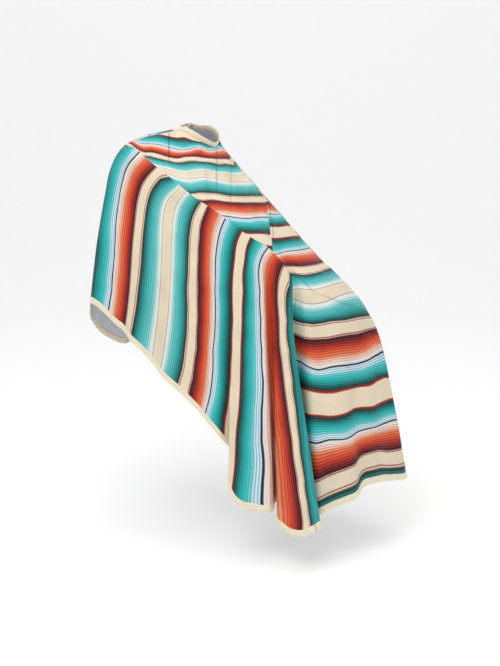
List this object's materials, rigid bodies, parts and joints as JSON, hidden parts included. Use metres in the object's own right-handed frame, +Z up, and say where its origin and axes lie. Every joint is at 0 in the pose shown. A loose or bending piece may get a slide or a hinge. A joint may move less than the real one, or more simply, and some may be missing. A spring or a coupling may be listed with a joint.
{
  "type": "barber cape",
  "caption": "Striped barber cape draped over a seated client, with a neckband, a snap closure at the nape and bound hems.",
  "frame": {"origin": "centre of the neck opening, in the plane of the neckband's foot to within a few millimetres", "axes": "+Z up, -Y the way the client faces, +X the client's left"},
  "size_m": [0.5837, 0.9431, 1.1666],
  "materials": {
    "printed_cloth": "woven polyester with a printed stripe, soft sheen",
    "binding_tape": "folded cream binding tape, stitched",
    "snap_metal": "satin nickel"
  },
  "bodies": {
    "cape": {"back_right_yoke": "printed_cloth", "right_shoulder_yoke": "printed_cloth", "chest_right": "printed_cloth", "lap": "printed_cloth", "chest_left": "printed_cloth", "left_shoulder_yoke": "printed_cloth", "back_right_fall": "printed_cloth", "right_rear_fall": "printed_cloth", "right_side_fall": "printed_cloth", "right_pleat_fall": "printed_cloth", "right_corner_fall": "printed_cloth", "front_fall": "printed_cloth", "left_front_fall": "printed_cloth", "left_side_fall": "printed_cloth", "back_left_fall": "printed_cloth", "rear_right_hem_binding": "binding_tape", "right_hem_binding": "binding_tape", "front_hem_binding": "binding_tape", "left_hem_binding": "binding_tape", "rear_left_hem_binding": "binding_tape", "right_slit_binding": "binding_tape", "left_slit_binding": "binding_tape", "neckband": "binding_tape", "closure_tab_root": "binding_tape", "snap_1_stud": "snap_metal", "snap_1_post": "snap_metal", "snap_2_stud": "snap_metal", "snap_2_post": "snap_metal"},
    "closure_tab": {"closure_tab": "binding_tape", "snap_1_socket": "snap_metal", "snap_1_cap": "snap_metal", "snap_2_socket": "snap_metal", "snap_2_cap": "snap_metal"}
  },
  "joints": [
    {"name": "closure_tab_peel", "type": "hinge", "parent": "cape", "child": "closure_tab", "pos_m": [-0.014, 0.05869, 0.04321], "axis": [0, -0.5592, 0.829], "range_deg": [0, 100]}
  ]
}
